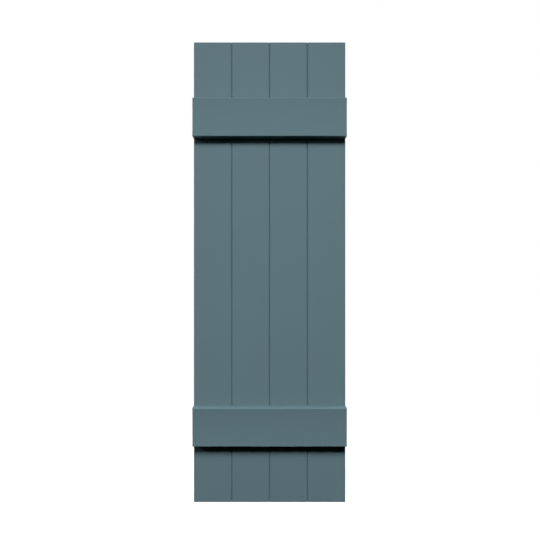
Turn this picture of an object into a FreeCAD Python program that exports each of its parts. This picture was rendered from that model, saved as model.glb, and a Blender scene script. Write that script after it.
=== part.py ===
import FreeCAD, Part
import os
import Sketcher

# Board and batten shutter: four tongue-and-groove boards with V joints, two battens across the front,
# and flat-head screws driven from the back through the boards into the battens.
# Millimetres. X runs across the shutter, Z up its height, and the front with the battens faces -Y.
# The back lies on the plane y = 0 and the origin is the middle of the back.

# Driving sizes
SIZES = [
    ("panel_height", 1079.5, "height of the boards"),
    ("board_face", 88.9, "width of one board, joint to joint"),
    ("board_thick", 19.0, "thickness of the boards"),
    ("board_ease", 1.8, "rounding of the outer edges of the boards"),
    ("joint_bevel", 2.0, "bevel on each side of a V joint"),
    ("joint_nick", 1.5, "front corner taken off a board at each end of a joint"),
    ("nick_depth", 5.0, "depth of that nick behind the face"),
    ("tongue_thick", 6.0, "thickness of the tongue"),
    ("tongue_reach", 7.0, "how far the tongue stands out"),
    ("tongue_bevel", 1.2, "lead-in bevel on the tongue"),
    ("groove_side_gap", 0.2, "clearance on each side of the tongue"),
    ("groove_end_gap", 1.0, "clearance past the tip of the tongue"),
    ("batten_height", 88.9, "height of a batten"),
    ("batten_thick", 19.0, "thickness of a batten"),
    ("batten_ease", 1.0, "rounding of the front edges of a batten"),
    ("batten_inset", 137.3, "end of the boards to the near edge of a batten"),
    ("batten_overhang", 0.5, "batten past the outer boards at each end"),
    ("screw_edge", 26.0, "edge of a batten to the axis of a screw"),
    ("screw_head", 8.4, "diameter of the head"),
    ("screw_shank", 4.2, "diameter of the plain shank"),
    ("screw_core", 3.0, "diameter of the part in the batten"),
    ("screw_point", 4.0, "length of the point"),
    ("screw_sink", 0.5, "head below the back face"),
    ("hole_gap", 0.3, "a hole's diameter over the screw's"),
    ("pilot_end_gap", 1.0, "pilot hole past the point"),
    ("pilot_cover", 4.5, "wood left in front of a pilot hole"),
]

BOARDS = ["left_outer_board", "left_inner_board", "right_inner_board", "right_outer_board"]

# Places and lengths that follow from the sizes, as expressions
BATTEN_FEET = {
    "upper": "sizes.panel_height / 2 - sizes.batten_inset - sizes.batten_height",
    "lower": "-sizes.panel_height / 2 + sizes.batten_inset",
}
BATTEN_SPACING = "sizes.panel_height - 2 * sizes.batten_inset - sizes.batten_height"
SCREW_ROWS = ["sizes.screw_edge", "sizes.batten_height - sizes.screw_edge"]
SCREW_BITE = "(sizes.batten_thick - sizes.pilot_cover - sizes.pilot_end_gap)"
SCREW_LENGTH = f"({SCREW_BITE} + sizes.board_thick - sizes.screw_sink)"

doc = FreeCAD.newDocument("shutter")
sheet = doc.addObject("Spreadsheet::Sheet", "sizes")
for row, (alias, value, meaning) in enumerate(SIZES, start=1):
    sheet.set(f"A{row}", meaning)
    sheet.set(f"B{row}", str(value))
    sheet.setAlias(f"B{row}", alias)
doc.recompute()


def origin_part(body, role):
    """One of the body's own origin planes or axes."""
    return next(item for item in body.Origin.OriginFeatures if item.Role == role)


def new_body(label, across, depth, up):
    """A body whose place in the shutter is three expressions."""
    body = doc.addObject("PartDesign::Body", label)
    body.Label = label
    for axis, expression in (("x", across), ("y", depth), ("z", up)):
        body.setExpression(f"Placement.Base.{axis}", expression)
    return body


def new_sketch(body, name, role):
    """A sketch on one of the body's own origin planes."""
    sketch = body.newObject("Sketcher::SketchObject", name)
    sketch.AttachmentSupport = [(origin_part(body, role), "")]
    sketch.MapMode = "FlatFace"
    return sketch


def bind(sketch, kind, geometry, point, expression):
    """Tie one point's distance from the sketch's origin to an expression."""
    here = sketch.getPoint(geometry, point)
    value = here.x if kind == "DistanceX" else here.y
    index = sketch.addConstraint(Sketcher.Constraint(kind, -1, 1, geometry, point, value))
    sketch.setExpression(f"Constraints[{index}]", expression)


def outline_sketch(body, name, role, *outlines):
    """Closed outlines; each corner is a pair of expressions measured from the body's origin."""
    sketch = new_sketch(body, name, role)
    for corners in outlines:
        points = [FreeCAD.Vector(*(sheet_value(text) for text in corner)) for corner in corners]
        first, count = sketch.GeometryCount, len(points)
        for index, start in enumerate(points):
            sketch.addGeometry(Part.LineSegment(start, points[(index + 1) % count]))
        for index in range(count):
            here, following = first + index, first + (index + 1) % count
            sketch.addConstraint(Sketcher.Constraint("Coincident", here, 2, following, 1))
        for index, (across, along) in enumerate(corners, start=first):
            bind(sketch, "DistanceX", index, 1, across)
            bind(sketch, "DistanceY", index, 1, along)
    return sketch


def sheet_value(expression):
    """The number an expression gives with the sheet's present values."""
    result = sheet.evalExpression(expression)
    return float(getattr(result, "Value", result))


def rectangle_sketch(body, name, role, left, right, low, high):
    """A rectangle between two pairs of expressions."""
    return outline_sketch(body, name, role, [(left, low), (right, low), (right, high), (left, high)])


def pad(body, name, sketch, length):
    """Extrude a sketch."""
    feature = body.newObject("PartDesign::Pad", name)
    feature.Profile = sketch
    feature.setExpression("Length", length)
    doc.recompute()
    return feature


def pocket(body, name, sketch, depth=None):
    """Cut a sketch to a depth, or from end to end."""
    feature = body.newObject("PartDesign::Pocket", name)
    feature.Profile = sketch
    if depth:
        feature.setExpression("Length", depth)
    else:
        feature.Type = "ThroughAll"
        feature.Midplane = True
    doc.recompute()
    return feature


def edges_on(feature, *tests):
    """Names of the straight edges with both ends on the given lines; a test is {axis: value}."""
    names = []
    for index, edge in enumerate(feature.Shape.Edges, start=1):
        ends = [vertex.Point for vertex in edge.Vertexes]
        for test in tests:
            if all(abs(getattr(end, axis) - value) < 1e-4 for end in ends for axis, value in test.items()):
                names.append(f"Edge{index}")
                break
    return names


def soften(body, name, kind, edges, size):
    """A fillet or chamfer on named edges of the body's tip."""
    feature = body.newObject(f"PartDesign::{kind}", name)
    feature.Base = (feature.BaseFeature, edges)
    feature.setExpression("Radius" if kind == "Fillet" else "Size", size)
    doc.recompute()
    return feature


def hole_sketch(body, name, depth, centres):
    """Circles on a plane parallel to the front, at a depth behind it; a centre is a pair of expressions."""
    sketch = new_sketch(body, name, "XZ_Plane")
    sketch.setExpression("AttachmentOffset.Base.z", f"-({depth})")
    radius = sheet_value("sizes.screw_core / 2")
    for circle, (across, up) in enumerate(centres):
        centre = FreeCAD.Vector(sheet_value(across), sheet_value(up))
        sketch.addGeometry(Part.Circle(centre, FreeCAD.Vector(0, 0, 1), radius))
        index = sketch.addConstraint(Sketcher.Constraint("Radius", circle, radius))
        sketch.setExpression(f"Constraints[{index}]", "sizes.screw_core / 2")
        bind(sketch, "DistanceX", circle, 3, across)
        bind(sketch, "DistanceY", circle, 3, up)
    doc.recompute()
    return sketch


def drill(body, name, sketch, diameter):
    """A plain hole running forwards from a sketch at the back."""
    feature = body.newObject("PartDesign::Hole", name)
    feature.Profile = sketch
    feature.Reversed = True
    feature.DrillPoint = "Flat"
    doc.recompute()
    feature.setExpression("Diameter", diameter)
    return feature


def repeat(body, name, feature, role, count, length):
    """Repeat a feature along one of the body's axes; the length runs from the first copy to the last."""
    pattern = body.newObject("PartDesign::LinearPattern", name)
    pattern.Originals = [feature]
    pattern.Direction = (origin_part(body, role), [""])
    pattern.Occurrences = count
    pattern.setExpression("Length", length)
    body.Tip = pattern
    doc.recompute()
    return pattern


def screw_row(order):
    """Height of a board's screw above a batten's foot: low and high by turns, off the batten's middle."""
    return SCREW_ROWS[order % len(SCREW_ROWS)]


# Boards
def nick_outlines(edge, inward):
    """Triangles over a board's two corners at a joint edge; inward is the sign of the way into the board."""
    nick = "sizes.joint_nick"
    outlines = []
    for end, up in (("0", "+"), ("sizes.panel_height", "-")):
        down = "-" if up == "+" else "+"
        outlines.append([
            (f"{edge} {inward} 2 * {nick}", f"{end} {down} {nick}"),
            (f"{edge} - ({inward}{nick})", f"{end} {up} 2 * {nick}"),
            (f"{edge} - ({inward}{nick})", f"{end} {down} {nick}"),
        ])
    return outlines


def make_board(label, order):
    """One board, from its lower left front corner; joints only where it has a neighbour."""
    last = len(BOARDS) - 1
    across = f"({order} - {len(BOARDS)} / 2) * sizes.board_face"
    body = new_body(label, across, "-sizes.board_thick", "-sizes.panel_height / 2")
    blank = rectangle_sketch(body, f"{label}_section", "XY_Plane",
                             "0", "sizes.board_face", "0", "sizes.board_thick")
    tip = pad(body, f"{label}_blank", blank, "sizes.panel_height")
    face = sheet_value("sizes.board_face")
    thick = sheet_value("sizes.board_thick")
    height = sheet_value("sizes.panel_height")
    middle = "sizes.board_thick / 2"
    joints = []
    nicks = []
    outsides = []

    if order < last:
        tongue = rectangle_sketch(body, f"{label}_tongue_section", "XY_Plane",
                                  "sizes.board_face", "sizes.board_face + sizes.tongue_reach",
                                  f"{middle} - sizes.tongue_thick / 2", f"{middle} + sizes.tongue_thick / 2")
        tip = pad(body, f"{label}_tongue", tongue, "sizes.panel_height")
        reach = face + sheet_value("sizes.tongue_reach")
        half = sheet_value("sizes.tongue_thick") / 2
        corners = [{"x": reach, "y": thick / 2 - half}, {"x": reach, "y": thick / 2 + half}]
        tip = soften(body, f"{label}_tongue_lead", "Chamfer", edges_on(tip, *corners), "sizes.tongue_bevel")
        joints.append({"x": face, "y": 0.0})
        nicks += nick_outlines("sizes.board_face", "-")
    else:
        outsides += [{"x": face, "y": 0.0}, {"x": face, "y": thick}]

    if order > 0:
        groove = rectangle_sketch(body, f"{label}_groove_section", "XY_Plane",
                                  "0", "sizes.tongue_reach + sizes.groove_end_gap",
                                  f"{middle} - sizes.tongue_thick / 2 - sizes.groove_side_gap",
                                  f"{middle} + sizes.tongue_thick / 2 + sizes.groove_side_gap")
        tip = pocket(body, f"{label}_groove", groove)
        joints.append({"x": 0.0, "y": 0.0})
        nicks += nick_outlines("0", "+")
    else:
        outsides += [{"x": 0.0, "y": 0.0}, {"x": 0.0, "y": thick}]

    tip = soften(body, f"{label}_joint_bevels", "Chamfer", edges_on(tip, *joints), "sizes.joint_bevel")
    ends = [{"y": y, "z": z} for y in (0.0, thick) for z in (0.0, height)]
    soften(body, f"{label}_eased_edges", "Fillet", edges_on(tip, *outsides, *ends), "sizes.board_ease")
    corners = outline_sketch(body, f"{label}_nick_section", "XZ_Plane", *nicks)
    pocket(body, f"{label}_nicks", corners, "sizes.nick_depth")

    centre = ("sizes.board_face / 2", f"sizes.batten_inset + {screw_row(order)}")
    circle = hole_sketch(body, f"{label}_hole_centre", "sizes.board_thick", [centre])
    hole = drill(body, f"{label}_hole", circle, "sizes.screw_shank + sizes.hole_gap")
    hole.DepthType = "ThroughAll"
    hole.HoleCutType = "Countersink"
    hole.HoleCutCustomValues = True
    hole.HoleCutCountersinkAngle = 90
    hole.setExpression("HoleCutDiameter", "sizes.screw_head + sizes.hole_gap + 2 * sizes.screw_sink")
    doc.recompute()
    repeat(body, f"{label}_holes", hole, "Z_Axis", len(BATTEN_FEET), BATTEN_SPACING)
    return body


# Battens
def make_batten(label, foot):
    """One batten, just longer than the boards are wide, with blind pilot holes in its back."""
    count = len(BOARDS)
    length = f"{count} * sizes.board_face + 2 * sizes.batten_overhang"
    body = new_body(label, f"-({length}) / 2", "-sizes.board_thick - sizes.batten_thick", foot)
    section = rectangle_sketch(body, f"{label}_section", "XY_Plane", "0", length, "0", "sizes.batten_thick")
    tip = pad(body, f"{label}_blank", section, "sizes.batten_height")
    width = sheet_value(length)
    height = sheet_value("sizes.batten_height")
    front = [{"y": 0.0, "x": 0.0}, {"y": 0.0, "x": width}, {"y": 0.0, "z": 0.0}, {"y": 0.0, "z": height}]
    soften(body, f"{label}_eased_edges", "Fillet", edges_on(tip, *front), "sizes.batten_ease")
    rows = len(SCREW_ROWS)
    places = [f"{order + 0.5} * sizes.board_face + sizes.batten_overhang" for order in range(rows)]
    centres = [(place, screw_row(order)) for order, place in enumerate(places)]
    circles = hole_sketch(body, f"{label}_hole_centres", "sizes.batten_thick", centres)
    hole = drill(body, f"{label}_hole", circles, "sizes.screw_core + sizes.hole_gap")
    hole.DepthType = "Dimension"
    hole.setExpression("Depth", f"{SCREW_BITE} + sizes.pilot_end_gap")
    doc.recompute()
    repeat(body, f"{label}_holes", hole, "X_Axis", count // rows, f"{count - rows} * sizes.board_face")
    return body


# Screws
def make_screw(label, across, up):
    """One turned flat-head screw on the depth axis, from its point at the body's origin to its head."""
    body = new_body(label, across, f"-sizes.screw_sink - {SCREW_LENGTH}", up)
    core, shank, head = (f"sizes.{size} / 2" for size in ("screw_core", "screw_shank", "screw_head"))
    profile = outline_sketch(body, f"{label}_section", "XY_Plane", [
        ("0", "0"),
        (core, "sizes.screw_point"),
        (core, SCREW_BITE),
        (shank, SCREW_BITE),
        (shank, f"{SCREW_LENGTH} - ({head} - {shank})"),
        (head, SCREW_LENGTH),
        ("0", SCREW_LENGTH),
    ])
    turned = body.newObject("PartDesign::Revolution", f"{label}_turned")
    turned.Profile = profile
    turned.ReferenceAxis = (origin_part(body, "Y_Axis"), [""])
    turned.Angle = 360
    doc.recompute()
    return body


pieces = [make_board(label, order) for order, label in enumerate(BOARDS)]
for level, foot in BATTEN_FEET.items():
    pieces.append(make_batten(f"{level}_batten", foot))
    for order in range(len(BOARDS)):
        across = f"({order + 0.5} - {len(BOARDS)} / 2) * sizes.board_face"
        up = f"{foot} + {screw_row(order)}"
        pieces.append(make_screw(f"{level}_batten_screw_{order + 1}", across, up))
doc.recompute()

# Check every object, then write one file for each piece
for item in doc.Objects:
    if "Invalid" in item.State or "Error" in item.State:
        raise RuntimeError(f"{item.Label} did not build: {item.State}")
os.makedirs("parts", exist_ok=True)
for piece in pieces:
    if piece.Shape.isNull() or not piece.Shape.isValid():
        raise RuntimeError(f"{piece.Label} has no valid shape")
    box = piece.Shape.BoundBox
    print(f"{piece.Label}: {len(piece.Shape.Solids)} solids, {piece.Shape.Volume / 1000:.2f} cm3,"
          f" x {box.XMin:.2f} to {box.XMax:.2f}, y {box.YMin:.2f} to {box.YMax:.2f},"
          f" z {box.ZMin:.2f} to {box.ZMax:.2f}")
    piece.Shape.exportStep(f"parts/{piece.Label}.step")
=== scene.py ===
# %% [markdown]
# # A painted board and batten shutter
# Four tongue-and-groove boards stand side by side, two battens cross their front, and screws driven from
# the back hold the battens on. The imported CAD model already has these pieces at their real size, in metres,
# with the front facing -Y, so it is loaded as a fixed frame. The boards could be modelled again here, but
# their shapes are right as they are. This file adds what the eye needs: satin paint, battens with the soft
# edge and the slight cup of real ones, screws with real heads and threads, a camera and a photographer's
# light.

# %% Load the frame
import math

import bpy
import numpy as np
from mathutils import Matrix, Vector


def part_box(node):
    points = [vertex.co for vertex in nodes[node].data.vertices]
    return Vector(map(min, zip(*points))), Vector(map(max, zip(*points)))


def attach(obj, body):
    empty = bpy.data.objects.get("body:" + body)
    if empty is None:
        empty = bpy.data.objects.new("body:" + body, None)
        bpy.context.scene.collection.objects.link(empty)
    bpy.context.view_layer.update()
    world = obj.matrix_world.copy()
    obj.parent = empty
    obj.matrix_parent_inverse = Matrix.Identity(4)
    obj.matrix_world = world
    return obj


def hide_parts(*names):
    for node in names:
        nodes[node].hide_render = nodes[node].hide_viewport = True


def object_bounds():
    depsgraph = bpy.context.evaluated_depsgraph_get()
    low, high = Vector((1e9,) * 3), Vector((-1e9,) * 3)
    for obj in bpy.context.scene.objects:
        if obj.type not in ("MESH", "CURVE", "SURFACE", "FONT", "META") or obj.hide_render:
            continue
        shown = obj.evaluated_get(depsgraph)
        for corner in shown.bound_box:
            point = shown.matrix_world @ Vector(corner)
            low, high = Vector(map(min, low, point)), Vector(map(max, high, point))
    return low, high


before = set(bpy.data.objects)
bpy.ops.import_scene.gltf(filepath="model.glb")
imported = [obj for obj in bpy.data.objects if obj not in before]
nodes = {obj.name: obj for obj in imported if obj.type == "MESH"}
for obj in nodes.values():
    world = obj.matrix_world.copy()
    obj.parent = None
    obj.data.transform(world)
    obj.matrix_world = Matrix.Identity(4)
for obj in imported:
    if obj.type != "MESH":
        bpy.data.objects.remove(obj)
cad_low, cad_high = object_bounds()
BOARDS = sorted(name for name in nodes if name.endswith("_board"))
BATTENS = sorted(name for name in nodes if name.endswith("_batten"))
SCREWS = sorted(name for name in nodes if "_screw_" in name)
MM = 0.001
print("boards", len(BOARDS), "battens", len(BATTENS), "screws", len(SCREWS))
print("CAD box", [round(v, 4) for v in cad_low], [round(v, 4) for v in cad_high])

# %% [markdown]
# ## The camera
# A batten stands 19 mm nearer to the lens than the boards. How much of the upper batten's underside and
# of the lower batten's top shows in the photograph tells how near the lens was, about 1.08 m, and that it
# was a little below the shutter's middle. Tilting the camera could frame the shutter too, but upright lines
# would then lean together. So the camera looks straight along +Y, and a small shift slides the picture
# until the shutter lands where it does in the photograph.

# %% Camera
IMAGE_PX = 540
EYE_DISTANCE = 1.08
EYE_HEIGHT = -0.038
PANEL_TALL_PX = 460.2
PANEL_CENTRE_PX = (269.6, 272.2)
SENSOR = 36.0
CLIP_NEAR = 0.01
CLIP_FAR = 50.0

board_low, board_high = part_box(BOARDS[0])
px_per_metre = PANEL_TALL_PX / (board_high.z - board_low.z)
camera_data = bpy.data.cameras.new("studio_camera")
camera_data.sensor_width = SENSOR
camera_data.lens = SENSOR * EYE_DISTANCE * px_per_metre / IMAGE_PX
camera_data.clip_start = CLIP_NEAR
camera_data.clip_end = CLIP_FAR
camera_data.shift_x = 0.5 - PANEL_CENTRE_PX[0] / IMAGE_PX
camera_data.shift_y = (PANEL_CENTRE_PX[1] - EYE_HEIGHT * px_per_metre) / IMAGE_PX - 0.5
camera = bpy.data.objects.new("studio_camera", camera_data)
camera.location = (0.0, board_low.y - EYE_DISTANCE, EYE_HEIGHT)
camera.rotation_euler = (math.radians(90), 0.0, 0.0)
bpy.context.scene.collection.objects.link(camera)
bpy.context.scene.camera = camera
bpy.context.scene.view_settings.view_transform = "Standard"
shift = (camera_data.shift_x, camera_data.shift_y)
print("lens", round(camera_data.lens, 2), "mm, shift", [round(part, 4) for part in shift])

# %% [markdown]
# ## The lamps
# The shadow under the lower batten is longer than the one under the upper batten. A sun lamp's shadows
# would be alike, so this is a lamp that is near and high. Yet the boards are almost as bright at the foot
# as at the top, where a lamp so near would fade along the way. The Light Falloff node's Constant output
# keeps its strength, and the lamp is aimed low, so only the slope of its light shades the boards. Both
# shadows thin out at their left ends, where a weaker lamp far to the left shines in past the battens' ends.
# A third, very weak, hangs level with the upper batten and keeps the shadow under it from going quite black.

# %% Lamps
KEY_PLACE = (0.0, -1.39, 1.337)
KEY_AIM = (0.0, 0.0, -2.48)
KEY_SIZE = (1.1, 0.755)
KEY_POWER = 14.2
LEFT_PLACE = (-2.6, -1.39, 1.337)
LEFT_AIM = (0.0, 0.0, 0.0)
LEFT_SIZE = (0.6, 0.6)
LEFT_POWER = 1.6
FRONT_PLACE = (0.0, -0.8, 0.45)
FRONT_AIM = (0.0, 0.0, 0.45)
FRONT_SIZE = (0.6, 0.3)
FRONT_POWER = 0.12


def soft_lamp(name, place, aim, size, power):
    """A rectangular lamp that faces a point and keeps its top edge level."""
    data = bpy.data.lights.new(name, "AREA")
    data.shape = "RECTANGLE"
    data.size, data.size_y = size
    data.energy = power
    lamp = bpy.data.objects.new(name, data)
    lamp.location = place
    lamp.rotation_euler = (Vector(aim) - Vector(place)).to_track_quat("-Z", "Y").to_euler()
    lamp.visible_camera = False
    bpy.context.scene.collection.objects.link(lamp)
    return lamp


def keep_strength(lamp):
    """Let a lamp's light reach any distance undimmed."""
    lamp.data.use_nodes = True
    tree = lamp.data.node_tree
    falloff = tree.nodes.new("ShaderNodeLightFalloff")
    falloff.inputs["Strength"].default_value = 1.0
    tree.links.new(falloff.outputs["Constant"], tree.nodes["Emission"].inputs["Strength"])


key_lamp = soft_lamp("key_lamp", KEY_PLACE, KEY_AIM, KEY_SIZE, KEY_POWER)
keep_strength(key_lamp)
left_lamp = soft_lamp("left_lamp", LEFT_PLACE, LEFT_AIM, LEFT_SIZE, LEFT_POWER)
keep_strength(left_lamp)
front_lamp = soft_lamp("front_lamp", FRONT_PLACE, FRONT_AIM, FRONT_SIZE, FRONT_POWER)
print("lamps", key_lamp.name, left_lamp.name, front_lamp.name)

# %% [markdown]
# ## Floor and backdrop
# In a studio the set is often one pale sheet that lies under the object and curves up behind it, so that no
# corner shows. A plane and a wall would do, with a line where they meet. Here a profile of floor, quarter
# circle and wall is carried sideways as an array of points, and every four neighbours make a face. The
# helper that puts arrays into a mesh serves the battens and screws later on too.

# %% Floor and backdrop
SWEEP_FRONT = -2.6
SWEEP_BACK = 1.9
SWEEP_TOP = 3.0
SWEEP_BEND = 0.6
SWEEP_HALF_WIDTH = 3.2
BEND_STEPS = 17
WIDTH_STEPS = 5


def grid_faces(rows, columns):
    """Quads of a sheet of points counted row by row."""
    corner = np.arange(rows - 1)[:, None] * columns + np.arange(columns - 1)[None, :]
    return np.stack([corner, corner + 1, corner + columns + 1, corner + columns], axis=-1).reshape(-1, 4)


def new_piece(name, points, *face_arrays):
    """A smooth mesh object at the origin from an array of points and arrays of faces."""
    mesh = bpy.data.meshes.new(name)
    faces = [face for array in face_arrays for face in array.tolist()]
    mesh.from_pydata(points.reshape(-1, 3).tolist(), [], faces)
    mesh.shade_smooth()
    mesh.update()
    piece = bpy.data.objects.new(name, mesh)
    bpy.context.scene.collection.objects.link(piece)
    return piece


def sweep_surface():
    """Profile: floor along Y, a quarter circle, then a wall along Z; each point is carried along X."""
    floor_z = cad_low.z
    bend = np.linspace(0.0, math.pi / 2, BEND_STEPS)
    along = np.concatenate([[SWEEP_FRONT], SWEEP_BACK - SWEEP_BEND + SWEEP_BEND * np.sin(bend), [SWEEP_BACK]])
    up = np.concatenate([[floor_z], floor_z + SWEEP_BEND * (1.0 - np.cos(bend)), [SWEEP_TOP]])
    across = np.linspace(-SWEEP_HALF_WIDTH, SWEEP_HALF_WIDTH, WIDTH_STEPS)
    points = np.empty((len(along), len(across), 3))
    points[..., 0] = across[None, :]
    points[..., 1] = along[:, None]
    points[..., 2] = up[:, None]
    return points


sweep_points = sweep_surface()
sweep = new_piece("studio_sweep", sweep_points, grid_faces(*sweep_points.shape[:2]))
print("sweep", len(sweep.data.polygons), "faces")

# %% [markdown]
# ## The world
# The page round the shutter is plain white in the photograph, and its shadows are nearly black, so no light
# came back up from below. More light would give a white page and spoil the shadows. The Light Path node
# tells one ray from another instead: the camera's rays meet white. Behind the shutter all other rays
# meet soft white too, which lights the back and lets the screws mirror the page, and in front of it they
# meet almost nothing. Trees of nodes are built by code here, so two small helpers come first.

# %% World
WHITE = (1.0, 1.0, 1.0, 1.0)
BACK_GLOW = 0.85
FRONT_GLOW = 0.006


def node(tree, kind, inputs=None, **settings):
    """Add a node; an input's value may be a number, a colour, a vector or another node's socket."""
    made = tree.nodes.new(kind)
    for name, value in settings.items():
        setattr(made, name, value)
    for key, value in (inputs or {}).items():
        if isinstance(value, bpy.types.NodeSocket):
            tree.links.new(value, made.inputs[key])
        else:
            made.inputs[key].default_value = value
    return made


def maths(tree, operation, first, second=0.0, third=0.0):
    """One Math node's result."""
    return node(tree, "ShaderNodeMath", {0: first, 1: second, 2: third}, operation=operation).outputs[0]


def straight_rays(tree):
    """1 for the camera's rays, also those that have passed through something clear."""
    path = node(tree, "ShaderNodeLightPath").outputs
    return maths(tree, "MAXIMUM", path["Is Camera Ray"], path["Is Transmission Ray"])


def soft_light(tree, depth):
    """What other rays meet: almost nothing in front; behind, soft white, and full white for a reflection."""
    mirrored = node(tree, "ShaderNodeLightPath").outputs["Is Glossy Ray"]
    page = maths(tree, "MAXIMUM", mirrored, BACK_GLOW)
    behind = maths(tree, "GREATER_THAN", depth, 0.0)
    return maths(tree, "MAXIMUM", maths(tree, "MULTIPLY", behind, page), FRONT_GLOW)


def studio_world():
    """White where the camera looks past the set, and the soft light of the set to other rays."""
    world = bpy.data.worlds.new("studio_world")
    world.use_nodes = True
    tree = world.node_tree
    direction = node(tree, "ShaderNodeTexCoord").outputs["Generated"]
    soft = soft_light(tree, node(tree, "ShaderNodeSeparateXYZ", {0: direction}).outputs["Y"])
    background = tree.nodes["Background"]
    background.inputs["Color"].default_value = WHITE
    tree.links.new(maths(tree, "MAXIMUM", straight_rays(tree), soft), background.inputs["Strength"])
    return world


bpy.context.scene.world = studio_world()
print("world", bpy.context.scene.world.name, len(bpy.context.scene.world.node_tree.nodes), "nodes")

# %% [markdown]
# ## The floor's white
# A floor of plain emission would be white all over and hold no shadow, and a floor of plain white paint
# would turn grey far from the lamp. So the camera sees both. Near the shutter it is paint that the lamp
# lights, with the shutter's shadow on it and a weak glow, and away from it the paint slowly gives way to
# plain white, as white as the world, so that the outline looks equally sharp before both. Right under the
# shutter it is plain white too, because the nicks at the foot of the joints show the white page.

# %% Floor material
FLOOR_WHITE = (0.9, 0.9, 0.9, 1.0)
FLOOR_DARK = (0.005, 0.005, 0.005, 1.0)
FLOOR_GLOW = 0.2
PAGE_START = 0.7
PAGE_FULL = 1.5


def vectors(tree, operation, first, second=(0.0, 0.0, 0.0)):
    """One Vector Math node's outputs."""
    return node(tree, "ShaderNodeVectorMath", {0: first, 1: second}, operation=operation).outputs


def ramp(tree, value, start, end, low=0.0, high=1.0):
    """A smooth step from low to high as value goes from start to end."""
    inputs = {"Value": value, "From Min": start, "From Max": end, "To Min": low, "To Max": high}
    return node(tree, "ShaderNodeMapRange", inputs, interpolation_type="SMOOTHSTEP").outputs["Result"]


def object_place(tree):
    """The Object coordinates, in metres, which stay with the piece."""
    return node(tree, "ShaderNodeTexCoord").outputs["Object"]


def object_axes(tree):
    """The Object coordinates as three values, X, Y and Z."""
    return node(tree, "ShaderNodeSeparateXYZ", {0: object_place(tree)}).outputs


def join(tree, across, along, up=0.0):
    """A vector from three values."""
    return node(tree, "ShaderNodeCombineXYZ", {0: across, 1: along, 2: up}).outputs[0]


def new_material(name):
    """A material with a Principled shader wired to its output."""
    material = bpy.data.materials.new(name)
    material.use_nodes = True
    tree = material.node_tree
    return material, tree, tree.nodes["Principled BSDF"]


panel_y = (board_low.y + board_high.y) / 2
panel_half_thick = (board_high.y - board_low.y) / 2


def under_panel(tree, axes):
    """1 on the floor right under the shutter, and 0 elsewhere."""
    within_width = maths(tree, "COMPARE", axes["X"], 0.0, cad_high.x)
    within_thickness = maths(tree, "COMPARE", axes["Y"], panel_y, panel_half_thick)
    return maths(tree, "MULTIPLY", within_width, within_thickness)


def floor_material():
    """Lit paint near the shutter, plain white under it and far from it; the soft light to other rays."""
    material, tree, shader = new_material("pale_floor")
    tree.nodes.remove(shader)
    axes = object_axes(tree)
    away = vectors(tree, "LENGTH", join(tree, axes["X"], axes["Y"]))["Value"]
    page = maths(tree, "MAXIMUM", ramp(tree, away, PAGE_START, PAGE_FULL), under_panel(tree, axes))
    lit = node(tree, "ShaderNodeBsdfDiffuse", {"Color": FLOOR_WHITE}).outputs[0]
    glow = node(tree, "ShaderNodeEmission", {"Color": WHITE, "Strength": FLOOR_GLOW}).outputs[0]
    paint = node(tree, "ShaderNodeAddShader", {0: lit, 1: glow}).outputs[0]
    plain = node(tree, "ShaderNodeEmission", {"Color": WHITE, "Strength": 1.0}).outputs[0]
    seen = node(tree, "ShaderNodeMixShader", {0: page, 1: paint, 2: plain}).outputs[0]
    dark = node(tree, "ShaderNodeBsdfDiffuse", {"Color": FLOOR_DARK}).outputs[0]
    strength = soft_light(tree, axes["Y"])
    soft = node(tree, "ShaderNodeEmission", {"Color": WHITE, "Strength": strength}).outputs[0]
    unseen = node(tree, "ShaderNodeAddShader", {0: dark, 1: soft}).outputs[0]
    mixed = node(tree, "ShaderNodeMixShader", {0: straight_rays(tree), 1: unseen, 2: seen}).outputs[0]
    tree.links.new(mixed, tree.nodes["Material Output"].inputs["Surface"])
    return material


pale_floor = floor_material()
sweep.data.materials.append(pale_floor)
print("floor", pale_floor.name, len(pale_floor.node_tree.nodes), "nodes")

# %% [markdown]
# ## The paint film
# The boards are smooth and closed with a satin paint, so no open grain shows. A flat colour would look like
# plastic, because what makes paint look real up close is small: a fine orange-peel skin from the sprayer,
# long faint ridges along the grain where the wood was planed and sanded, and a slow drift in tone and
# gloss. All three are noise of different scales. One node group holds them, and each material that uses it
# gives the direction of its own grain.

# %% Paint film group
PEEL_SCALE = 480.0
PEEL_DETAIL = 1.5
PEEL_GRIT = 0.45
RIDGE_DETAIL = 4.0
RIDGE_GRIT = 0.6
DRIFT_SCALE = 5.0
TONE_DRIFT = 0.05
GLOSS_DRIFT = 0.12
RIDGE_GLOSS = 0.10
PEEL_HEIGHT = 0.7
RIDGE_HEIGHT = 0.3


def noise(tree, vector, scale, detail=2.0, roughness=0.5):
    """A noise texture's value, about 0.5 on average."""
    inputs = {"Vector": vector, "Scale": scale, "Detail": detail, "Roughness": roughness}
    return node(tree, "ShaderNodeTexNoise", inputs).outputs["Fac"]


def spread(tree, value, amount, middle=0.0):
    """A noise value turned into middle plus or minus half the amount."""
    return maths(tree, "MULTIPLY_ADD", value, amount, middle - amount / 2)


def tint(tree, colour, tone):
    """A colour made lighter or darker by a tone of about 1."""
    scaled = node(tree, "ShaderNodeVectorMath", {0: colour, "Scale": tone}, operation="SCALE")
    return scaled.outputs[0]


def new_group(name, inputs, outputs):
    """An empty shader node group; inputs and outputs are pairs of a name and a socket kind."""
    group = bpy.data.node_groups.new(name, "ShaderNodeTree")
    for in_out, sockets in (("INPUT", inputs), ("OUTPUT", outputs)):
        for socket, kind in sockets:
            group.interface.new_socket(socket, in_out=in_out, socket_type=f"NodeSocket{kind}")
    return group, node(group, "NodeGroupInput").outputs


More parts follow.
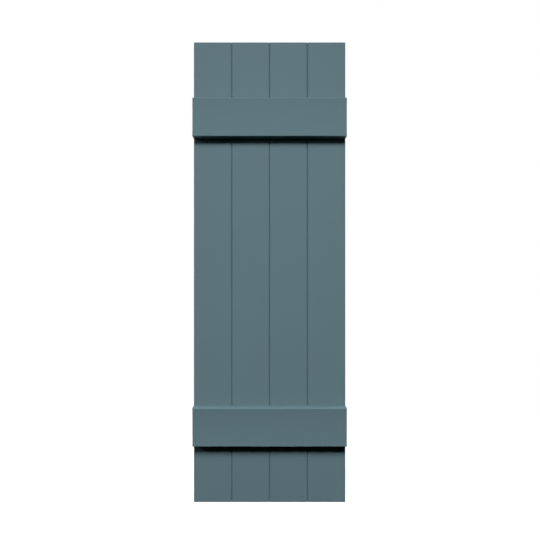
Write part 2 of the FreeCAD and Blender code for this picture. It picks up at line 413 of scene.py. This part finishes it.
def paint_film_group():
    """Tone, roughness and height of a paint film; Stroke is the scale of its ridges along each axis."""
    group, given = new_group(
        "paint_film",
        [("Colour", "Color"), ("Stroke", "Vector"), ("Roughness", "Float")],
        [("Colour", "Color"), ("Roughness", "Float"), ("Height", "Float")],
    )
    place = object_place(group)
    stroke = vectors(group, "MULTIPLY", place, given["Stroke"])[0]
    ridges = noise(group, stroke, 1.0, RIDGE_DETAIL, RIDGE_GRIT)
    peel = noise(group, place, PEEL_SCALE, PEEL_DETAIL, PEEL_GRIT)
    drift = noise(group, place, DRIFT_SCALE)
    colour = tint(group, given["Colour"], spread(group, drift, TONE_DRIFT, 1.0))
    rough = maths(group, "ADD", given["Roughness"], spread(group, ridges, RIDGE_GLOSS))
    rough = maths(group, "ADD", rough, spread(group, drift, GLOSS_DRIFT))
    height = maths(group, "MULTIPLY_ADD", peel, PEEL_HEIGHT, maths(group, "MULTIPLY", ridges, RIDGE_HEIGHT))
    node(group, "NodeGroupOutput", {"Colour": colour, "Roughness": rough, "Height": height})
    return group


paint_film = paint_film_group()
print("group", paint_film.name, len(paint_film.nodes), "nodes")

# %% [markdown]
# ## End grain
# A board's cut end drinks paint, so it dries flatter there, and the growth rings stand up a little as
# arcs round a heart that lies somewhere outside the board. A Wave texture makes rings too, but its stripes
# rise and fall alike, while a real ring swells slowly and ends sharply. So the rings here are the fraction
# of the distance from the heart, counted in rings and bent by noise, with pores between them.

# %% End grain group
RING_SPACING = 3.4 * MM
RING_BEND = 4.0 * MM
BEND_SCALE = 60.0
PORE_SCALE = 2200.0
PORE_GRIT = 0.6
RING_HEIGHT = 0.8
PORE_HEIGHT = 0.5
RING_SHARPNESS = 6.0
RING_TONE = 0.08


def end_grain_group():
    """Height of growth rings and pores; Section gives the place on the cut end, measured from the heart."""
    group, given = new_group("end_grain", [("Section", "Vector")], [("Height", "Float"), ("Tone", "Float")])
    bent = spread(group, noise(group, given["Section"], BEND_SCALE), RING_BEND)
    distance = maths(group, "ADD", vectors(group, "LENGTH", given["Section"])["Value"], bent)
    ring = maths(group, "FRACT", maths(group, "DIVIDE", distance, RING_SPACING))
    drop = maths(group, "SUBTRACT", 1.0, maths(group, "POWER", ring, RING_SHARPNESS))
    ridge = maths(group, "MULTIPLY", ring, drop)
    pores = noise(group, given["Section"], PORE_SCALE, roughness=PORE_GRIT)
    height = maths(group, "MULTIPLY_ADD", ridge, RING_HEIGHT, maths(group, "MULTIPLY", pores, PORE_HEIGHT))
    tone = maths(group, "MULTIPLY_ADD", ridge, -RING_TONE, 1.0)
    node(group, "NodeGroupOutput", {"Height": height, "Tone": tone})
    return group


end_grain = end_grain_group()
print("group", end_grain.name, len(end_grain.nodes), "nodes")

# %% [markdown]
# ## Seams
# Paint does not bridge a joint that works with the weather, so a hairline stays open where two boards
# meet: at the bottom of each V in front, and flush at the back, where it is all that shows the boards
# apart. Real gaps of a tenth of a millimetre could be cut into the boards, but they would be lost at most
# distances. A mask paints the shade of that open hairline into the paint instead, as a dark line. It is
# found from the distance to the nearest joint, and left out on the tongues, which run across it, and on
# the panel's outer edges.

# %% Seam mask
SEAM_HALF = 0.1 * MM
SEAM_SOFT = 0.2 * MM
TONGUE_HALF = 3.2 * MM

panel_edges = [corner.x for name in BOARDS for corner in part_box(name)]
board_face = (max(panel_edges) - min(panel_edges)) / len(BOARDS)
outer_board_middle = max(panel_edges) - board_face / 2


def seam_shade_mask(tree, axes):
    """Mask of the painted hairline shade: 1 where the distance to the nearest joint is next to nothing,
    inside the panel and off the tongues.
    """
    across = maths(tree, "PINGPONG", axes["X"], board_face / 2)
    near_joint = ramp(tree, across, SEAM_HALF, SEAM_HALF + SEAM_SOFT, 1.0, 0.0)
    on_tongue = maths(tree, "COMPARE", axes["Y"], panel_y, TONGUE_HALF)
    inside = maths(tree, "LESS_THAN", maths(tree, "ABSOLUTE", axes["X"]), outer_board_middle)
    shown = maths(tree, "MULTIPLY", inside, maths(tree, "SUBTRACT", 1.0, on_tongue))
    return maths(tree, "MULTIPLY", near_joint, shown)


print("a joint every", round(board_face / MM, 1), "mm")

# %% [markdown]
# ## Painted boards and battens
# Both are the same paint on the same stock, but a board's grain runs up and a batten's runs across. Six
# materials could give each piece its own, but two are enough, because everything in them is measured from
# the piece's place. The ends are found from the distance along the grain, and each board gets a heart of
# its own, so that no two ends match.

# %% Painted wood materials
PAINT = (0.1035, 0.170, 0.190, 1.0)
PAINT_ROUGHNESS = 0.7
PAINT_SPECULAR = 0.15
BUMP_STRENGTH = 0.4
BUMP_DEPTH = 0.08 * MM
GRAIN_FINE = 420.0
GRAIN_LONG = 9.0
END_SKIN = 0.3 * MM
END_FULL = 0.1 * MM
END_ROUGHER = 0.12
HEART_DEPTH = 55.0 * MM
HEART_ASIDE = 0.4
BATTEN_HEARTS = 121.0 * MM
# painted shade: how much the paint colour is darkened along each joint's open hairline
SEAM_SHADE = 0.6


def painted_wood(name, along, across, half_length, heart_gap, with_seam_shade=False):
    """Satin paint on a piece whose grain runs along one axis; hearts are spaced along the axis across it."""
    material, tree, shader = new_material(name)
    axes = object_axes(tree)
    film = node(tree, "ShaderNodeGroup", node_tree=paint_film)
    film.inputs["Colour"].default_value = PAINT
    film.inputs["Stroke"].default_value = [GRAIN_LONG if axis == along else GRAIN_FINE for axis in "XYZ"]
    film.inputs["Roughness"].default_value = PAINT_ROUGHNESS
    reach = maths(tree, "ABSOLUTE", axes[along])
    at_end = ramp(tree, reach, half_length - END_SKIN, half_length - END_FULL)
    side = maths(tree, "SUBTRACT", maths(tree, "WRAP", axes[across], heart_gap), heart_gap * HEART_ASIDE)
    section = join(tree, side, maths(tree, "ADD", axes["Y"], HEART_DEPTH))
    grain = node(tree, "ShaderNodeGroup", {"Section": section}, node_tree=end_grain)
    tone = maths(tree, "MULTIPLY_ADD", at_end, maths(tree, "SUBTRACT", grain.outputs["Tone"], 1.0), 1.0)
    # painted shade: the paint colour is darkened along each joint's hairline, where a real gap would be in
    # shade
    if with_seam_shade:
        tone = maths(tree, "MULTIPLY_ADD", seam_shade_mask(tree, axes), -SEAM_SHADE, tone)
    height = maths(tree, "MULTIPLY_ADD", at_end, grain.outputs["Height"], film.outputs["Height"])
    rough = maths(tree, "MULTIPLY_ADD", at_end, END_ROUGHER, film.outputs["Roughness"])
    relief = {"Height": height, "Strength": BUMP_STRENGTH, "Distance": BUMP_DEPTH}
    tree.links.new(tint(tree, film.outputs["Colour"], tone), shader.inputs["Base Color"])
    tree.links.new(rough, shader.inputs["Roughness"])
    tree.links.new(node(tree, "ShaderNodeBump", relief).outputs["Normal"], shader.inputs["Normal"])
    shader.inputs["Specular IOR Level"].default_value = PAINT_SPECULAR
    return material


def dress(names, material):
    """Give CAD nodes one material."""
    for name in names:
        nodes[name].data.materials.clear()
        nodes[name].data.materials.append(material)
    print(material.name, "on", names)


batten_low, batten_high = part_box(BATTENS[0])
dress(BOARDS, painted_wood("board_paint", "Z", "X", board_high.z, board_face, with_seam_shade=True))
batten_paint = painted_wood("batten_paint", "X", "Z", batten_high.x, BATTEN_HEARTS)
print("material", batten_paint.name, len(batten_paint.node_tree.nodes), "nodes")

# %% [markdown]
# ## A batten's section
# CAD holds each batten as a flat board. The photograph says a little more. A light line runs along the top
# edge, which is rounded to shed rain, and the foot is crisp, so that drops fall from it. The face grows
# lighter downwards, as it does on a board that has cupped a little in drying. A Bevel modifier could round
# the edge and a lattice bend the face. Here both are parts of one closed outline, two arcs and a parabola
# between them, because each can then be given in millimetres.

# %% Batten section
TOP_ROUND = 2.5 * MM
FOOT_EASE = 0.4 * MM
CUP = 1.2 * MM
SUPPORT = 0.3 * MM
ARC_STEPS = 9
FACE_STEPS = 17

quarter = np.linspace(0.0, math.pi / 2, ARC_STEPS)


def batten_section(low, high):
    """Depth, height and share facing forward of each point: back, top, round edge, cupped face and foot."""
    face_top = high.z - TOP_ROUND
    face_foot = low.z + FOOT_EASE
    middle = (face_top + face_foot) / 2
    half = (face_top - face_foot) / 2
    face = np.linspace(face_top - SUPPORT, face_foot + SUPPORT, FACE_STEPS)
    cup = CUP * (1.0 - ((face - middle) / half) ** 2)
    depth = [[high.y, high.y, low.y + TOP_ROUND + SUPPORT], low.y + TOP_ROUND * (1.0 - np.sin(quarter)),
             low.y + cup, low.y + FOOT_EASE * (1.0 - np.cos(quarter)), [low.y + FOOT_EASE + SUPPORT]]
    height = [[low.z, high.z, high.z], face_top + TOP_ROUND * np.cos(quarter),
              face, face_foot - FOOT_EASE * np.sin(quarter), [low.z]]
    facing = [np.zeros(len(depth[0])), np.sin(quarter), np.ones(FACE_STEPS), np.cos(quarter), [0.0]]
    return np.concatenate(depth), np.concatenate(height), np.concatenate(facing)


print("batten section", len(batten_section(batten_low, batten_high)[0]), "points")

# %% [markdown]
# ## The battens
# A batten is its section carried from end to end. An extruded curve would do that too, but its ends would be
# sharp, and a batten's ends are sanded. So the front is drawn in by a quarter circle near each end, and one
# point in the middle of each cut end closes the surface.

# %% Batten surface
END_EASE = 1.0 * MM
CREASE = math.radians(40)


def batten_surface(low, high):
    """The section carried along X, drawn in at the front near each end; one more point closes each end."""
    depth, height, facing = batten_section(low, high)
    inset = np.append(END_EASE * (1.0 - np.cos(quarter)), END_EASE + SUPPORT)
    ease = np.append(END_EASE * (1.0 - np.sin(quarter)), 0.0)
    across = np.concatenate([low.x + inset, high.x - inset[::-1]])[:, None]
    drawn = np.concatenate([ease, ease[::-1]])[:, None]
    rings = np.stack(np.broadcast_arrays(across, depth + drawn * facing, height), axis=-1)
    middle = (low + high) / 2
    left, right = ([[end, middle.y, middle.z]] for end in (low.x, high.x))
    return np.concatenate([left, rings.reshape(-1, 3), right]), rings.shape[:2]


def ring_faces(rings, around):
    """Quads between neighbouring rings, and a fan of triangles to the point that closes each end."""
    this = np.arange(around)
    following = (this + 1) % around
    start = 1 + np.arange(rings - 1)[:, None] * around
    beyond = start + around
    quads = np.stack([start + this, start + following, beyond + following, beyond + this], axis=-1)
    last = 1 + (rings - 1) * around
    first_fan = np.stack([np.zeros_like(this), 1 + following, 1 + this], axis=-1)
    last_fan = np.stack([np.full_like(this, last + around), last + this, last + following], axis=-1)
    return quads.reshape(-1, 4), first_fan, last_fan


for name in BATTENS:
    points, grid = batten_surface(*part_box(name))
    batten = new_piece(f"{name}_shaped", points, *ring_faces(*grid))
    batten.data.set_sharp_from_angle(angle=CREASE)
    batten.data.materials.append(batten_paint)
    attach(batten, "root")
    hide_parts(name)
print("battens", len(BATTENS), "with", len(batten.data.polygons), "faces each")

# %% [markdown]
# ## The screw's profile
# The screws are driven from the back, so that the front stays clean, and only their flat heads show. CAD
# holds each one as a plain turned solid, at the right place and size. A lathe would start a real one in the
# same way: a profile that turns round an axis. It runs from the middle of the head over a small rim,
# down the cone to the shank, and on along the core to a rounded point. Each step of it becomes a ring.

# %% Screw profile
HEAD_RIM = 0.15 * MM
RIM_STEPS = (0.4, 0.6)
HEART_RING = 0.1 * MM
SHANK_RADIUS = 2.1 * MM
SHANK_GAP = 0.1 * MM
SHANK_END = 18.1 * MM
CORE_START = 18.45 * MM
CORE_RADIUS = 1.2 * MM
POINT_LENGTH = 4.0 * MM
FACE_RINGS = 40
CONE_RINGS = 6
SHANK_RINGS = 4
CORE_RINGS = 50
POINT_RINGS = 16


def screw_profile(head_radius, length):
    """Radius and depth of each ring: the head's face, its rim, the cone, shank, core and point."""
    shank_start = head_radius - SHANK_RADIUS
    point_start = length - POINT_LENGTH
    face = np.linspace(HEART_RING, head_radius - HEAD_RIM, FACE_RINGS)
    rim = HEAD_RIM * np.array(RIM_STEPS)
    cone = np.linspace(HEAD_RIM, shank_start, CONE_RINGS)
    shank = np.linspace(shank_start + SHANK_GAP, SHANK_END, SHANK_RINGS)
    core = np.linspace(CORE_START, point_start, CORE_RINGS)
    point = np.linspace(point_start, length, POINT_RINGS + 2)[1:-1]
    taper = CORE_RADIUS * np.sqrt((length - point) / POINT_LENGTH)
    radius = [face, head_radius - rim, head_radius - cone, np.full(SHANK_RINGS, SHANK_RADIUS),
              np.full(CORE_RINGS, CORE_RADIUS), taper]
    depth = [np.zeros(FACE_RINGS), rim, cone, shank, core, point]
    return np.concatenate(radius), np.concatenate(depth)


screw_low, screw_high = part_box(SCREWS[0])
screw_head = (screw_high.x - screw_low.x) / 2
screw_length = screw_high.y - screw_low.y
ring_count = len(screw_profile(screw_head, screw_length)[0])
print("screw", round(screw_length / MM, 1), "mm long,", ring_count, "rings")

# %% [markdown]
# ## Cross recess and thread
# A driver fits into a cross recess in the head, and the thread climbs the core by one pitch in each turn.
# Both could be cut with booleans or a Screw modifier, but they are simple rules of the place on the
# screw: near the arms of a cross the head sinks, and where depth and angle agree the core swells.

# %% Recess and thread
RECESS_DEPTH = 2.0 * MM
RECESS_REACH = 2.4 * MM
RECESS_SLOPE = 0.7
RECESS_HALF_ARM = 0.55 * MM
RECESS_EASE = 0.25
THREAD_HEIGHT = 0.42 * MM
THREAD_PITCH = 1.8 * MM
THREAD_HALF = 0.28


def smooth_step(value, start, end):
    """0 before start, 1 past end, and an S curve between."""
    t = np.clip((value - start) / (end - start), 0.0, 1.0)
    return t * t * (3.0 - 2.0 * t)


def cross_recess(radius, angle):
    """Share of full depth: 1 along two crossed arms, sloping up to 0 at their ends, and 0 beside them."""
    across = np.abs(radius * np.cos(angle))
    up = np.abs(radius * np.sin(angle))
    along = np.maximum(across, up)
    beside = np.minimum(across, up) / RECESS_HALF_ARM
    slope = np.clip((RECESS_REACH - along) / (RECESS_SLOPE * RECESS_REACH), 0.0, 1.0)
    return slope * (1.0 - smooth_step(beside, 1.0 - RECESS_EASE, 1.0 + RECESS_EASE))


def thread_ridge(depth, angle):
    """Share of full height: a ridge where the depth in pitches and the angle in turns agree."""
    phase = np.mod(depth / THREAD_PITCH - angle / (2.0 * math.pi), 1.0)
    return np.clip(1.0 - np.abs(phase - 0.5) / THREAD_HALF, 0.0, 1.0)


print("thread of", round((screw_length - SHANK_END) / THREAD_PITCH, 1), "turns")

# %% [markdown]
# ## The screw's surface
# Now the profile turns: a screw is a surface of two parameters, the way along the profile and the angle
# round the axis. The whole grid of points is worked out at once as arrays, with the recess and the thread
# added to its depth and radius. One point in the middle of the head and one at the tip close it, as they do
# on a batten, so the same helper joins its rings.

# %% Screw surface
AROUND = 96


def screw_surface(low, high, turn):
    """Points of a screw that fills a box: one for the head's middle, rings of points, and one for the tip."""
    middle = (low + high) / 2
    head_radius = (high.x - low.x) / 2
    length = high.y - low.y
    radius, depth = (values[:, None] for values in screw_profile(head_radius, length))
    angle = np.linspace(0.0, 2.0 * math.pi, AROUND, endpoint=False)[None, :]
    on_face = depth == 0.0
    recess = on_face * cross_recess(radius, angle)
    run_in = smooth_step(depth, SHANK_END, SHANK_END + THREAD_PITCH)
    run_out = 1.0 - smooth_step(depth, length - THREAD_PITCH, length)
    wide = radius + THREAD_HEIGHT * run_in * run_out * thread_ridge(depth, angle)
    deep = depth + RECESS_DEPTH * recess
    across = middle.x + wide * np.cos(angle + turn)
    up = middle.z + wide * np.sin(angle + turn)
    rings = np.stack(np.broadcast_arrays(across, high.y - deep, up), axis=-1)
    heart = [[middle.x, high.y - RECESS_DEPTH, middle.z]]
    tip = [[middle.x, low.y, middle.z]]
    return np.concatenate([heart, rings.reshape(-1, 3), tip]), wide.ravel(), recess.ravel()


print("points in a screw", len(screw_surface(screw_low, screw_high, 0.0)[0]))

# %% [markdown]
# ## Zinc-plated steel
# The screws are bright zinc on steel. A lathe leaves fine rings on the head, and they follow the screw
# and not the shutter. A texture would need a centre for each screw, so each point carries its distance from
# the screw's own axis as an attribute, and noise of that distance draws the rings. The bottom of the recess
# is duller and darker.

# %% Screw material
ZINC = (0.5, 0.5, 0.49)
ZINC_ROUGHNESS = 0.4
LATHE_SCALE = 7000.0
LATHE_GRIT = 0.6
LATHE_ROUGHNESS = 0.2
LATHE_RELIEF = 0.3
LATHE_DEPTH = 0.02 * MM
SPANGLE_SCALE = 900.0
SPANGLE_TONE = 0.25
RECESS_DARK = 0.45
RECESS_ROUGHER = 0.2


def zinc_steel():
    """Metal whose roughness and height change in rings, darker in the recess."""
    material, tree, shader = new_material("zinc_steel")
    radius = node(tree, "ShaderNodeAttribute", attribute_name="turned_radius").outputs["Fac"]
    recess = node(tree, "ShaderNodeAttribute", attribute_name="recess").outputs["Fac"]
    rings = noise(tree, join(tree, radius, object_axes(tree)["Y"]), LATHE_SCALE, roughness=LATHE_GRIT)
    spangle = noise(tree, object_place(tree), SPANGLE_SCALE)
    tone = maths(tree, "MULTIPLY_ADD", recess, -RECESS_DARK, spread(tree, spangle, SPANGLE_TONE, 1.0))
    rough = spread(tree, rings, LATHE_ROUGHNESS, ZINC_ROUGHNESS)
    rough = maths(tree, "MULTIPLY_ADD", recess, RECESS_ROUGHER, rough)
    relief = {"Height": rings, "Strength": LATHE_RELIEF, "Distance": LATHE_DEPTH}
    tree.links.new(tint(tree, ZINC, tone), shader.inputs["Base Color"])
    tree.links.new(rough, shader.inputs["Roughness"])
    tree.links.new(node(tree, "ShaderNodeBump", relief).outputs["Normal"], shader.inputs["Normal"])
    shader.inputs["Metallic"].default_value = 1.0
    return material


zinc = zinc_steel()
print("material", zinc.name, len(zinc.node_tree.nodes), "nodes")

# %% [markdown]
# ## Driving the screws
# Each CAD screw's box gives the place and size of its surface, which then stands for it. Copies of one mesh
# would all have their crosses turned alike, and driven screws stop anywhere. So each mesh is made anew,
# turned on by the golden angle, which never repeats.

# %% Place the screws
GOLDEN_TURN = 2.399963


def add_values(piece, name, ring_values, heart, tip):
    """Store one number for each point of a screw."""
    values = np.concatenate([[heart], ring_values, [tip]]).astype(np.float32)
    piece.data.attributes.new(name, "FLOAT", "POINT").data.foreach_set("value", values)


for order, name in enumerate(SCREWS):
    points, ring_radius, ring_recess = screw_surface(*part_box(name), GOLDEN_TURN * order)
    screw = new_piece(f"{name}_turned", points, *ring_faces(len(ring_radius) // AROUND, AROUND))
    screw.data.set_sharp_from_angle(angle=CREASE)
    add_values(screw, "turned_radius", ring_radius, 0.0, 0.0)
    add_values(screw, "recess", ring_recess, 1.0, 0.0)
    screw.data.materials.append(zinc)
    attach(screw, "root")
    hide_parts(name)
print("screws", len(SCREWS), "with", len(screw.data.polygons), "faces each")
